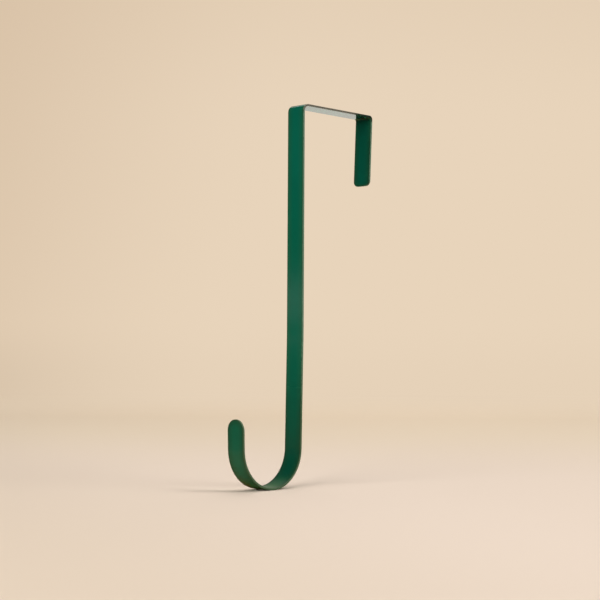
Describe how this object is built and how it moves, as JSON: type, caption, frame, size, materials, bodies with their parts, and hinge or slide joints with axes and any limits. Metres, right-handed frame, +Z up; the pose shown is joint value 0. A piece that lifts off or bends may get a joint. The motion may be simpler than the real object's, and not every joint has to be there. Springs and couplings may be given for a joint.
{
  "type": "wreath hanger",
  "caption": "Flat steel strap bent to hang over the top of a door, with a long front strap ending in a round hook and a short gripping leg behind.",
  "frame": {"origin": "middle of the underside of the bridge, the face that rests on top of the door", "axes": "+Z up, along the long strap; X across the strap's width, the part is the same either side of X = 0; -Y is the front, where the long strap and hook are; +Y is towards the back leg"},
  "size_m": [0.013, 0.111, 0.2286],
  "materials": {
    "painted_strap": "satin dark green paint"
  },
  "bodies": {
    "root": {"hanger": "painted_strap"}
  },
  "joints": []
}
